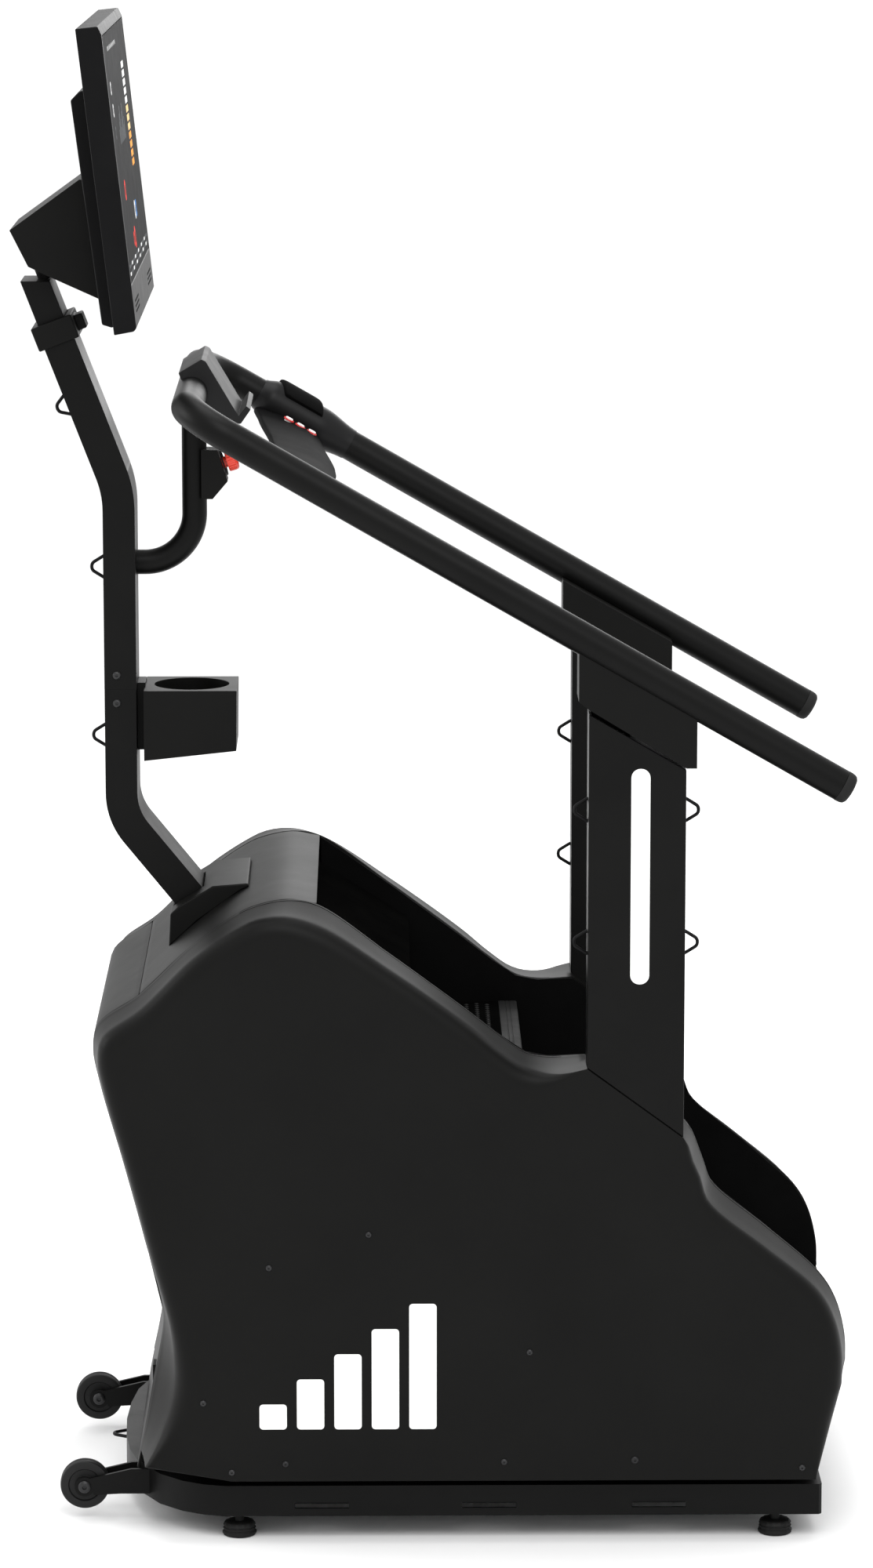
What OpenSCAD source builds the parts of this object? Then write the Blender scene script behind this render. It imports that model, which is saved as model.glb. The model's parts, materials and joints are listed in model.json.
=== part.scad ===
// Stair climber: welded frame, moulded shroud, step loop on two drums, mast with display.
// Front of the machine is -X, the entrance is +X, +Z is up, the floor is z = 0.

/* [Rails and mast] */
// Handrail tube diameter
rail_dia = 44; // [40:1:46]
// Mast tube depth, front to back
mast_depth = 45; // [42:1:48]
// Mast tube width, side to side
mast_width = 100; // [90:1:106]
// Support arm tube diameter
arm_dia = 35; // [30:1:38]

/* [Stairs] */
// Step tread width, side to side
step_width = 480; // [440:1:480]
// Tread thickness
tread_thick = 20; // [14:1:22]
// Riser plate thickness
riser_thick = 8; // [4:1:10]
// Shaft diameter
shaft_dia = 24; // [20:1:26]

/* [Accessories] */
// Cup holder bore diameter
cup_dia = 106; // [90:1:110]
// Cup holder bore depth
cup_depth = 72; // [50:1:76]
// Transport wheel diameter
wheel_dia = 70; // [60:1:72]
// Levelling foot pad diameter
foot_dia = 47; // [40:1:54]
// Wire diameter of the band hooks
wire_dia = 4; // [3:0.5:5]

/* [Display] */
// Display width
display_width = 616; // [560:1:640]
// Wall thickness of moulded covers
cover_wall = 4; // [3:0.5:4.5]

/* [Node] */
// Sub-part to draw

/* [Hidden] */
$fn = 64;
black = [0.12, 0.12, 0.12];
grey = [0.35, 0.35, 0.36];
steel = [0.62, 0.63, 0.65];
red = [0.85, 0.15, 0.1];

// Side outline of the shroud where it meets the flat side face, x and z
side_y = 345;
outer_line = [[-400, 112], [-372, 155], [-356, 190], [-350, 227], [-353, 262],
    [-362, 310], [-390, 415], [-419, 527], [-450, 640], [-459, 690], [-452, 721],
    [-401, 760], [-326, 834], [-262, 876], [-240, 886], [-205, 889], [-151, 872],
    [-56, 813], [52, 735], [90, 702], [124, 679], [165, 671], [212, 681],
    [345, 583], [352, 570], [358, 547], [368, 525], [378, 493], [394, 474],
    [460, 422], [533, 359], [557, 315], [567, 267], [566, 219], [536, 103],
    [534, 92], [-280, 92]];
// The same outline at the edge of the step opening
open_y = 250;
inner_line = [[-411, 112], [-402, 155], [-396, 190], [-389, 227], [-382, 262],
    [-377, 310], [-402, 415], [-431, 527], [-462, 640], [-471, 690], [-464, 725],
    [-407, 766], [-330, 838], [-268, 882], [-242, 893], [-200, 901], [-160, 895],
    [-56, 822], [46, 746], [92, 710], [130, 684], [160, 678], [212, 680],
    [352, 586], [362, 572], [370, 552], [378, 530], [388, 502], [402, 486],
    [468, 433], [543, 366], [566, 328], [579, 278], [581, 240], [546, 103],
    [540, 92], [-280, 92]];
front_line = [[-416, 84], [-407, 130], [-390, 220], [-375, 300], [-402, 415],
    [-431, 527], [-462, 640], [-471, 690], [-464, 725], [-408, 765]];
top_line = [[-406, 767], [-330, 838], [-268, 882], [-242, 893], [-200, 901], [-160, 895]];
rear_line = [[580, 237], [546, 103], [542, 84]];

// Staircase: run and rise of one step, first nosing, drums
run = 215;
rise = 183;
pitch = norm([run, rise]);
down_t = [run / pitch, -rise / pitch];
up_n = [rise / pitch, run / pitch];
nosing_2 = [345, 462];
pin_back = 108;
pin_drop = 33;
pin_gap_t = [-pin_back, -pin_drop] * down_t;
pin_gap_n = [-pin_back, -pin_drop] * up_n;
top_n = nosing_2 * up_n + pin_gap_n;
first_pin = nosing_2 * down_t + pin_gap_t + pitch;
drum_r = 80;
step_count = 7;
drum_n = top_n - drum_r;
low_t = 154.4;
high_t = low_t - (step_count * pitch - 2 * PI * drum_r) / 2;
low_c = low_t * down_t + drum_n * up_n;
high_c = high_t * down_t + drum_n * up_n;
tread_run = 205;
bay_w = 110;
rib_bays = [-171, -57, 57, 171];
riser_drop = 175;
chain_y = 249;
chain_w = 8;

// Frame plates carry both shafts
frame_y = 262;
frame_w = 22;
plate_t = 6;
bearing_gap = 0.05;
belt_y = 289;
belt_w = 20;
belt_t = 4;
pulley_r = 70;
flywheel_c = [-225, 245];
flywheel_pulley_r = 24;

// Handrail line in the side view
rail_y = 338;
rail_tilt = 29.9;
bar_x = -332;
bar_z = 1586.5;
rail_r = rail_dia / 2;
elbow_r = 65;
cap_l = 16;
rail_l = 1041;
tube_wall = 2.5;

// Mast
mast_x = -437;
joint_z = 1162;
mast_lean = 21;
mast_turn_z = 1415;
mast_turn_r = 150;
boom_lean = 39;
boom_turn_z = 1013;
boom_turn_r = 90;
foot_plate_top = 203;
foot_plate_t = 9;
slope_n = [-0.698, 0.716];
slope_t = [-0.716, -0.698];

// Base
base_lo = 35;
base_hi = 79;
foot_x_front = -271;
foot_x_rear = 481;
foot_y = 292;
wheel_x = -491;
wheel_y = 214;
wheel_z = 50;
wheel_w = 22;
axle_r = 6;

// Display
tilt = 6.24;
disp_x = -398;
disp_z = 1693;
glass_t = 3;

// Closed outline, always taken counter-clockwise
function area_of(p) = let(n = len(p))
    [for (i = [0:n - 1]) p[i][0] * p[(i + 1) % n][1] - p[(i + 1) % n][0] * p[i][1]]
    * [for (i = [0:n - 1]) 1];
module outline(p) {
    polygon(area_of(p) > 0 ? p : [for (i = [len(p) - 1:-1:0]) p[i]]);
}

// Solid between two side-view outlines of the same length
module loft(a, ya, b, yb) {
    n = len(a);
    polyhedron(
        points = concat([for (p = a) [p[0], ya, p[1]]], [for (p = b) [p[0], yb, p[1]]]),
        faces = concat(
            [[for (i = [n - 1:-1:0]) i]],
            [[for (i = [0:n - 1]) n + i]],
            [for (i = [0:n - 1]) [i, (i + 1) % n, n + (i + 1) % n]],
            [for (i = [0:n - 1]) [i, n + (i + 1) % n, n + i]]));
}

// Side-view shape extruded between two widths
module slab(y0, y1) {
    translate([0, y1, 0]) rotate([90, 0, 0]) linear_extrude(height = y1 - y0) children();
}

module pin(c, y0, y1, r) {
    translate([c[0], y1, c[1]]) rotate([90, 0, 0]) cylinder(h = y1 - y0, r = r);
}

// Right side is +Y, left side is -Y
module side(s) {
    if (s > 0) children();
    else mirror([0, 1, 0]) children();
}

module pair() {
    children();
    mirror([0, 1, 0]) children();
}

function turn(v) = [v[1], -v[0]] / norm(v);
function inset_at(p, i, t) = let(
    a = turn(p[i] - p[max(i - 1, 0)] + (i == 0 ? p[1] - p[0] : [0, 0])),
    b = turn(i == len(p) - 1 ? p[i] - p[i - 1] : p[i + 1] - p[i]),
    m = a + b)
    p[i] + m * (2 * t / (m * m));
function inset(p, t) = [for (i = [0:len(p) - 1]) inset_at(p, i, t)];
function reversed(p) = [for (i = [len(p) - 1:-1:0]) p[i]];
function strip(p, t) = concat(p, reversed(inset(p, t)));

// ---- base ----

base_plan = [[-441, 0], [-438, 80], [-430, 150], [-414, 205], [-383, 264], [-350, 297],
    [-320, 314], [-290, 322], [540, 322], [544, 318], [544, 0]];
base_hole = [[-400, 0], [-398, 80], [-390, 140], [-372, 185], [-340, 228], [-300, 262],
    [520, 262], [520, 0]];
base_wall = 4;
cross_x = [-140, 150];
cross_w = 40;
slot_x = [-155, 79, 316];
slot_l = 76;
slot_h = 9;

module base_half() {
    translate([0, 0, base_lo]) linear_extrude(height = base_hi - base_lo)
        difference() {
            outline(base_plan);
            outline(base_hole);
        }
}

// Space inside the pressed channel, open underneath
module base_channel() {
    t = base_wall;
    translate([0, 0, base_lo - 1]) linear_extrude(height = base_hi - base_lo + 1 - t)
        outline(concat([base_plan[0] + [t, -1]], inset(base_plan, t),
            [[544 - t, -1], [520 + t, -1]], reversed(inset(base_hole, -t)),
            [base_hole[0] + [-t, -1]]));
}

module wheel_lug(y0, y1) {
    difference() {
        slab(y0, y1) union() {
            outline([[-385, 40], [-385, 76], [-425, 76], [-484, 62], [-478, 38], [-440, 40]]);
            translate([wheel_x, wheel_z]) circle(r = 14);
        }
        pin([wheel_x, wheel_z], y0 - 1, y1 + 1, axle_r);
    }
}

module base_frame() {
    color(black) difference() {
        union() {
            difference() {
                pair() base_half();
                pair() base_channel();
            }
            for (x = cross_x)
                translate([x, -263, base_lo + 5])
                    cube([cross_w, 526, base_hi - base_lo - 10]);
            pair() wheel_lug(wheel_y - wheel_w / 2 - 8, wheel_y - wheel_w / 2 - 3);
            pair() wheel_lug(wheel_y + wheel_w / 2 + 3, wheel_y + wheel_w / 2 + 8);
            pair() for (x = [foot_x_front, foot_x_rear])
                translate([x, foot_y, base_lo]) cylinder(h = base_hi - base_lo - 1, r = 15);
        }
        for (x = cross_x)
            translate([x + base_wall, -258, base_lo])
                cube([cross_w - 2 * base_wall, 516, base_hi - base_lo - 5 - base_wall]);
        pair() for (x = slot_x)
            translate([x - slot_l / 2, 316, 46]) cube([slot_l, 20, slot_h]);
        pair() for (x = [foot_x_front, foot_x_rear])
            translate([x, foot_y, base_lo - 1]) cylinder(h = 32, r = 6.3);
    }
}

module foot(x, s) {
    color(black) side(s) translate([x, foot_y, 0]) {
        cylinder(h = 6, r = foot_dia / 2);
        translate([0, 0, 6]) cylinder(h = 14, r = foot_dia / 2 - 2);
        translate([0, 0, 20]) cylinder(h = 30, r = 6);
    }
}

module transport_wheel(s) {
    color(black) side(s) difference() {
        pin([wheel_x, wheel_z], wheel_y - wheel_w / 2, wheel_y + wheel_w / 2, wheel_dia / 2);
        pin([wheel_x, wheel_z], wheel_y - 20, wheel_y + 20, axle_r + bearing_gap);
        pin([wheel_x, wheel_z], wheel_y + wheel_w / 2 - 3, wheel_y + 20, wheel_dia / 2 - 11);
        pin([wheel_x, wheel_z], wheel_y - 20, wheel_y - wheel_w / 2 + 3, wheel_dia / 2 - 11);
    }
}

// ---- fasteners ----

screw_at = [[-227, 400], [-89, 447], [-319, 206], [-280, 106], [-205, 118], [134, 278],
    [99, 120], [281, 122], [514, 110]];
head_r = 4.5;
head_h = 2.5;

module fasteners() {
    color(steel) {
        pair() for (c = screw_at) pin(c, side_y, side_y + head_h, head_r);
        pair() {
            pin([wheel_x, wheel_z], wheel_y - 19, wheel_y + 19, axle_r);
            pin([wheel_x, wheel_z], wheel_y + 19, wheel_y + 23, 9);
            pin([wheel_x, wheel_z], wheel_y - 23, wheel_y - 19, 9);
        }
        pair() pin([mast_x - 5, joint_z + 20], mast_width / 2, mast_width / 2 + 3, 6);
        pair() pin([mast_x - 5, joint_z - 20], mast_width / 2, mast_width / 2 + 3, 6);
        pair() pin([313, 1140], 276, 280, 7);
    }
}

// ---- internal frame ----

module frame_side(s) {
    color(grey) side(s) difference() {
        union() {
            slab(frame_y, frame_y + plate_t) union() {
                translate([-330, base_hi]) square([830, 32]);
                translate([-335, base_hi]) square([26, 560]);
                outline([[-335, 600], [-335, 700],
                    high_c + 194 * slope_n + 60 * slope_t,
                    high_c + 194 * slope_n - 35 * slope_t,
                    high_c + [40, 60], high_c + [70, -60], [-309, 560]]);
                outline([high_c + 28 * up_n, low_c + 28 * up_n,
                    low_c - 28 * up_n, high_c - 28 * up_n]);
                translate(low_c) circle(r = 48);
                translate([240, base_hi]) square([60, 400]);
                translate(flywheel_c) circle(r = 52);
                translate([flywheel_c[0] - 20, base_hi]) square([40, 170]);
            }
            pin(low_c, frame_y, frame_y + frame_w, 34);
            pin(high_c, frame_y, frame_y + frame_w, 34);
            pin(flywheel_c, frame_y, frame_y + frame_w, 34);
            slab(frame_y, up_y0) translate([236, 310]) square([68, 166]);
        }
        pin(low_c, frame_y - 1, frame_y + frame_w + 1, shaft_dia / 2 + bearing_gap);
        pin(high_c, frame_y - 1, frame_y + frame_w + 1, shaft_dia / 2 + bearing_gap);
        pin(flywheel_c, frame_y - 1, frame_y + frame_w + 1, 14);
    }
}

// ---- shroud ----

module side_cover(s) {
    color(black) side(s) difference() {
        loft(outer_line, side_y, inner_line, open_y);
        slab(open_y - 1, frame_y + 1) foot_plate_side(1);
        slab(open_y - 1, side_y - cover_wall) union() {
            outline(inset(outer_line, cover_wall + 2));
            translate([-274, 80]) square([802, 24]);
            outline([[-394, 80], [-394, 118], [-270, 104], [-270, 80]]);
        }
        translate([211.5, 284.5, 400]) cube([134, 56, 400]);
    }
}

module inner_liner(s) {
    color(black) side(s) slab(open_y - 5.5, open_y - 1.5) difference() {
        outline(inset(inner_line, 1));
        translate([-600, 0]) square([442, 1000]);
        translate([0, 0]) square([700, 100]);
        outline([-900 * down_t - 200 * up_n, -900 * down_t + (top_n + 12) * up_n,
            low_t * down_t + (top_n + 12) * up_n, low_t * down_t - 200 * up_n]);
        translate(low_c) circle(r = drum_r + 12);
    }
}

module top_cover() {
    color(black) difference() {
        slab(-open_y + 0.5, open_y - 0.5) union() {
            outline(strip(top_line, cover_wall));
            translate([-164, 872]) square([4, 22]);
        }
        mast_hole();
    }
}

module mast_hole() {
    translate([boom_foot[0], 0, boom_foot[1]]) rotate([0, -boom_lean, 0])
        translate([-mast_depth / 2 - 2, -mast_width / 2 - 2, -30])
            cube([mast_depth + 4, mast_width + 4, 90]);
}

module front_cover() {
    color(black) difference() {
        slab(-open_y + 0.5, open_y - 0.5) outline(strip(front_line, cover_wall));
        translate([-420, -216, 184]) cube([60, 32, 40]);
    }
}

module rear_panel() {
    color(black) slab(-open_y + 6, open_y - 6) outline(strip(rear_line, 3));
}

module power_inlet() {
    color(black) difference() {
        translate([-394, -215.5, 184.5]) cube([34, 31, 39]);
        translate([-395, -211, 189]) cube([18, 22, 30]);
    }
}

// ---- uprights and rails ----

up_x0 = 212;
up_x1 = 345;
up_y0 = 285;
bracket_y0 = 280;
bracket_y1 = 350;

module rail_path(s) {
    side(s) translate([bar_x, 0, bar_z]) rotate([0, rail_tilt, 0]) children();
}

module rail_envelope(s, r) {
    rail_path(s) translate([elbow_r, rail_y, 0]) rotate([0, 90, 0]) cylinder(h = rail_l, r = r);
}

module upright(s) {
    color(black) side(s) difference() {
        union() {
            slab(up_y0, side_y) outline([[up_x0, 682.5], [up_x0, 1175], [up_x1, 1098],
                [up_x1, 584.5]]);
            slab(up_y0, side_y - 5) outline([[up_x0, 300], [up_x0, 690], [up_x1, 600],
                [up_x1, 300]]);
        }
        slab(up_y0 + 4, side_y - 9) outline([[up_x0 + 4, 290], [up_x0 + 4, 1180],
            [up_x1 - 4, 1090], [up_x1 - 4, 290]]);
    }
}

module rail_bracket(s) {
    color(black) difference() {
        side(s) difference() {
            slab(bracket_y0, bracket_y1) outline([[198, 1193], [198, 1268], [359, 1176],
                [359, 1101], [345, 1101], [212, 1182]]);
            slab(up_y0, side_y) outline([[up_x0, 1100], [up_x0, 1175], [up_x1, 1098],
                [up_x1, 1000], [up_x0, 1000]]);
        }
        rail_envelope(s, rail_r + 0.2);
    }
}

module handrail_solid(r) {
    translate([bar_x, 0, bar_z]) rotate([0, rail_tilt, 0]) {
        rotate([90, 0, 0]) translate([0, 0, -rail_y + elbow_r])
            cylinder(h = 2 * (rail_y - elbow_r), r = r);
        pair() {
            translate([elbow_r, rail_y - elbow_r, 0]) rotate([0, 0, 90])
                rotate_extrude(angle = 90) translate([elbow_r, 0]) circle(r = r);
            translate([elbow_r, rail_y, 0]) rotate([0, 90, 0])
                cylinder(h = rail_l - elbow_r - cap_l, r = r);
        }
    }
}

module handrail() {
    color(black) difference() {
        handrail_solid(rail_r);
        handrail_solid(rail_r - tube_wall);
    }
}

module rail_end_cap(s) {
    color(black) rail_path(s) translate([rail_l - cap_l, rail_y, 0]) rotate([0, 90, 0]) {
        cylinder(h = cap_l - 6, r = rail_r + 0.5);
        translate([0, 0, cap_l - 6]) cylinder(h = 6, r1 = rail_r + 0.5, r2 = rail_r - 6);
        translate([0, 0, -20]) cylinder(h = 20, r = rail_r - tube_wall - 0.1);
    }
}

arm_r = arm_dia / 2;
arm_z = 1336.5;
arm_turn = 70;
arm_x0 = mast_x + mast_depth / 2;

module arm_solid(r) {
    translate([arm_x0, 0, arm_z]) rotate([0, 90, 0])
        cylinder(h = bar_x - arm_turn - arm_x0, r = r);
    translate([bar_x - arm_turn, 0, arm_z + arm_turn]) rotate([90, 0, 0]) rotate([0, 0, -90])
        rotate_extrude(angle = 90) translate([arm_turn, 0]) circle(r = r);
    translate([bar_x, 0, arm_z + arm_turn]) cylinder(h = bar_z - arm_z - arm_turn, r = r);
}

module support_arm() {
    color(black) difference() {
        arm_solid(arm_r);
        arm_solid(arm_r - tube_wall);
        handrail_solid(rail_r + 0.1);
    }
}

module device_holder() {
    color(grey) difference() {
        slab(-95, 95) outline([[-350, 1614], [-318, 1633], [-312, 1630], [-267, 1554],
            [-256, 1568], [-250, 1563], [-264, 1543], [-280, 1543], [-330, 1562]]);
        handrail_solid(rail_r + 0.2);
        translate([bar_x, 0, bar_z - 40]) cylinder(h = 40, r = arm_r + 1);
        slab(-86, 86) outline([[-299, 1619], [-275, 1579], [-279, 1576], [-303, 1616]]);
    }
}

// ---- control bridge between the rails ----

bridge_lo = -34;
bridge_lo_left = -22;
bridge_hi = -4;
key_u = [152, 171, 190];
key_y = 272;
key_r = 6;

module bridge_sleeve() {
    translate([98, rail_y, 0]) rotate([0, 90, 0]) {
        cylinder(h = 118, r = rail_r + 8);
        translate([0, 0, 118]) cylinder(h = 34, r1 = rail_r + 8, r2 = rail_r + 1);
    }
}

// Half of the bridge plate on side s, from height w0 up to bridge_hi
module bridge_plate(s, w0) {
    side(s) translate([0, 0, w0]) linear_extrude(height = bridge_hi - w0)
        outline([[103, 324], [206, 324], [214, 250], [236, 60], [236, -1], [141, -1],
            [136, 60], [112, 250]]);
}

module control_bridge() {
    color(grey) difference() {
        translate([bar_x, 0, bar_z]) rotate([0, rail_tilt, 0]) {
            bridge_plate(1, bridge_lo);
            bridge_plate(-1, bridge_lo_left);
            difference() {
                bridge_sleeve();
                translate([80, rail_y + 12, -50]) cube([200, 60, 100]);
            }
        }
        rail_envelope(1, rail_r + 0.2);
        rail_envelope(-1, rail_r + 0.2);
        translate([bar_x, 0, bar_z]) rotate([0, rail_tilt, 0])
            for (u = key_u) translate([u, key_y, bridge_hi - 8]) cylinder(h = 20, r = key_r + 0.3);
    }
}

module grip() {
    color(black) rail_path(1) translate([112, rail_y, 0]) rotate([0, 90, 0]) rotate([0, 0, 154])
        rotate_extrude(angle = 80) translate([rail_r + 8.1, 0]) square([6.5, 85]);
}

module key(i) {
    color(grey) translate([bar_x, 0, bar_z]) rotate([0, rail_tilt, 0])
        translate([key_u[i], key_y, bridge_hi - 5.5]) cylinder(h = 8, r = key_r);
}

estop_tilt = 18;
estop_c = [-292.5, 1477];

module estop_axis() {
    translate([estop_c[0], 0, estop_c[1]]) rotate([0, 90 - estop_tilt, 0]) children();
}

module estop_housing() {
    color(black) difference() {
        slab(-20, 20) outline([[-322, 1498], [-299, 1497], [-284.7, 1453], [-306, 1428],
            [-322, 1428]]);
        arm_solid(arm_r + 0.1);
        estop_axis() translate([0, 0, -14]) cylinder(h = 30, r = 8.3);
    }
}

module estop_button() {
    color(red) estop_axis() {
        translate([0, 0, -6]) cylinder(h = 14, r = 8);
        translate([0, 0, 7]) cylinder(h = 12, r = 15);
        translate([0, 0, 19]) cylinder(h = 3, r1 = 15, r2 = 12);
    }
}

// ---- mast ----

// Side view of the mast, width w: boom, lower bend, straight, upper bend, lean
boom_c = [mast_x + boom_turn_r, boom_turn_z];
boom_reach = 152.6;
boom_v = [sin(boom_lean), -cos(boom_lean)];
boom_p = [cos(boom_lean), sin(boom_lean)];
boom_foot = boom_c - boom_turn_r * boom_p + boom_reach * boom_v;
lean_c = [mast_x - mast_turn_r, mast_turn_z];
lean_v = [-sin(mast_lean), cos(mast_lean)];
lean_p = [cos(mast_lean), sin(mast_lean)];
boom_top = boom_c - boom_turn_r * boom_p;
lean_bot = lean_c + mast_turn_r * lean_p;
lean_l = 200;

module sector(c, r0, r1, a0, a1) {
    translate(c) rotate([0, 0, a0]) difference() {
        intersection() {
            circle(r = r1, $fn = 128);
            outline([[0, 0], [2 * r1, 0], 2 * r1 * [cos((a1 - a0) / 2), sin((a1 - a0) / 2)],
                2 * r1 * [cos(a1 - a0), sin(a1 - a0)]]);
        }
        circle(r = r0, $fn = 128);
    }
}

module lower_side(w, past) {
    l = boom_reach + 8 + past;
    sector(boom_c, boom_turn_r - w / 2, boom_turn_r + w / 2, 180, 180 + boom_lean);
    outline([boom_top - boom_p * w / 2, boom_top - boom_p * (w / 2 - 3) - boom_v * 5,
        boom_top + boom_p * (w / 2 - 3) - boom_v * 5, boom_top + boom_p * w / 2,
        boom_top + boom_p * w / 2 + boom_v * l, boom_top - boom_p * w / 2 + boom_v * l]);
    translate([mast_x - w / 2, boom_turn_z]) square([w, joint_z - boom_turn_z + past]);
}

module upper_side(w, past) {
    l = lean_l + past;
    translate([mast_x - w / 2, joint_z - past]) square([w, mast_turn_z - joint_z + past]);
    sector(lean_c, mast_turn_r - w / 2, mast_turn_r + w / 2, 0, mast_lean);
    outline([lean_bot - lean_p * w / 2, lean_bot + lean_p * w / 2,
        lean_bot + lean_p * w / 2 + lean_v * l,
        lean_bot - lean_p * w / 2 + lean_v * l]);
}

module foot_plate_side(gap) {
    hi = foot_plate_top + gap;
    lo = foot_plate_top - foot_plate_t;
    outline([high_c + hi * slope_n + (60 + gap) * slope_t,
        high_c + hi * slope_n - (34 + gap) * slope_t,
        high_c + lo * slope_n - (34 + gap) * slope_t,
        high_c + lo * slope_n + (60 + gap) * slope_t]);
}

module mast_lower() {
    color(black) {
        difference() {
            slab(-mast_width / 2, mast_width / 2) lower_side(mast_depth, 0);
            slab(-mast_width / 2 + 3, mast_width / 2 - 3) lower_side(mast_depth - 6, 1);
        }
        slab(-frame_y, frame_y) foot_plate_side(0);
    }
}

module mast_upper() {
    color(black) difference() {
        slab(-mast_width / 2, mast_width / 2) upper_side(mast_depth, 0);
        slab(-mast_width / 2 + 3, mast_width / 2 - 3) upper_side(mast_depth - 6, 1);
    }
}

post_c = [-541, 1748];
post_r = 11;
head_top = 1737;

module post_axis() {
    translate([post_c[0], 0, post_c[1]]) rotate([0, -mast_lean, 0]) children();
}

head_bot = lean_bot + lean_v * (lean_l - 50);
head_w = mast_depth - 6.2;

module mast_head() {
    color(grey) {
        slab(-mast_width / 2 + 3.1, mast_width / 2 - 3.1) intersection() {
            outline([head_bot - lean_p * head_w / 2, head_bot + lean_p * head_w / 2,
                head_bot + lean_p * head_w / 2 + lean_v * 170,
                head_bot - lean_p * head_w / 2 + lean_v * 170]);
            translate([-700, 1400]) square([300, head_top - 1400]);
        }
        difference() {
            post_axis() translate([0, 0, -12]) cylinder(h = 66, r = post_r);
            translate([-600, -40, head_top - 60]) cube([120, 80, 60]);
        }
    }
}

module mast_collar() {
    c = lean_bot + lean_v * (lean_l + 12);
    color(black) translate([c[0], 0, c[1]]) rotate([0, -mast_lean, 0]) difference() {
        union() {
            translate([-30, -mast_width / 2 - 7, -18]) cube([60, mast_width + 14, 34]);
            translate([28, -22, -12]) cube([14, 44, 22]);
        }
        translate([-head_w / 2 - 0.1, -mast_width / 2 + 3, -30])
            cube([head_w + 0.2, mast_width - 6, 60]);
        translate([-mast_depth / 2 - 0.1, -mast_width / 2 - 0.1, -30])
            cube([mast_depth + 0.2, mast_width + 0.2, 18]);
    }
}

module mast_boot() {
    color(black) difference() {
        slab(-96, 96) outline([[-371, 790], [-368, 848], [-357, 858], [-308, 888],
            [-258, 892], [-256, 880]]);
        slab(-100, 100) outline(inset(inner_line, -0.2));
        mast_hole();
    }
}

module cup_holder() {
    color(black) difference() {
        union() {
            slab(-65, 65) outline([[-404, 1062], [-404, 1162], [-273, 1162], [-274, 1076]]);
            translate([arm_x0 + 0.1, -28, 1072]) cube([-404 - arm_x0 + 1, 56, 96]);
        }
        translate([-338, 0, 1162 - cup_depth]) cylinder(h = cup_depth + 10, r = cup_dia / 2);
    }
}

// ---- band hooks ----

module hook_shape() {
    difference() {
        outline([[0, -18], [0, 18], [-3, 18], [-18, 8], [-21, 0], [-18, -8], [-3, -18]]);
        outline([[1, -18 + wire_dia], [1, 18 - wire_dia], [-3, 17.5 - wire_dia],
            [-18 + wire_dia, 8 - wire_dia / 2], [-21 + wire_dia, 0],
            [-18 + wire_dia, -8 + wire_dia / 2], [-3, -17.5 + wire_dia]]);
    }
}

module hook(c, a, y) {
    slab(y - wire_dia / 2, y + wire_dia / 2) translate(c) rotate([0, 0, a]) hook_shape();
}

module band_hooks() {
    color(steel) {
        hook(lean_bot + lean_v * 107 - lean_p * mast_depth / 2, mast_lean, 0);
        hook([mast_x - mast_depth / 2, 1330], 0, 0);
        hook([mast_x - mast_depth / 2, 1089], 0, 0);
        for (y = [-315, 315]) for (z = [853, 1038]) {
            hook([up_x0, z], 0, y);
            hook([up_x1, z], 180, y);
        }
        translate([-441, 0, 55]) linear_extrude(height = wire_dia) hook_shape();
    }
}

// ---- display ----

module display_frame() {
    translate([disp_x, 0, disp_z]) rotate([0, -tilt, 0]) children();
}

glass_lo = 62;
glass_hi = 396;

module display_housing() {
    w = display_width / 2;
    color(black) display_frame() difference() {
        slab(-w, w) outline([[-31, -2], [-4, 0], [0, 4], [0, 398], [-4, 409.9], [-34, 409.9]]);
        translate([-glass_t - 0.1, -w + 12, glass_lo]) cube([10, 2 * w - 24, glass_hi - glass_lo]);
        translate([-28, -w + 6, 10]) cube([22, 2 * w - 12, 388]);
        translate([-40, -150, 60]) cube([20, 300, 200]);
    }
}

module display_glass() {
    w = display_width / 2;
    color(grey) display_frame()
        translate([-glass_t, -w + 12.3, glass_lo + 0.3])
            cube([glass_t - 0.4, 2 * w - 24.6, glass_hi - glass_lo - 0.6]);
}

module back_box_side() {
    outline([[-34.2, 2], [-34.2, 322], [-44, 322], [-58, 311], [-52, 4], [-38, -2]]);
}

module display_back_box() {
    color(black) display_frame() difference() {
        slab(-200, 200) back_box_side();
        translate([-48, -192, 12]) cube([20, 384, 290]);
    }
}

module neck_side(t) {
    outline(t == 0 ?
        [[-581, 1812], [-484, 1882], [-440, 1882], [-430, 1705], [-458, 1717],
            [-529, 1749], [-556, 1762]] :
        [[-576, 1812], [-483, 1877], [-400, 1877], [-400, 1722], [-457, 1722],
            [-528, 1754], [-554, 1766]]);
}

module neck_cover() {
    color(black) difference() {
        union() {
            difference() {
                slab(-100, 100) neck_side(0);
                slab(-96, 96) neck_side(1);
            }
            intersection() {
                slab(-30, 30) neck_side(0);
                post_axis() translate([0, 0, -20]) cylinder(h = 90, r = 19);
            }
        }
        post_axis() translate([0, 0, -30]) cylinder(h = 86, r = post_r + bearing_gap);
        display_frame() slab(-110, 110)
            outline([[-58.2, 340], [-58.2, 311], [-52.2, 4], [-38, -2.2], [-38, -40], [60, -40],
                [60, 340]]);
    }
}

// ---- stairs ----

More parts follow.
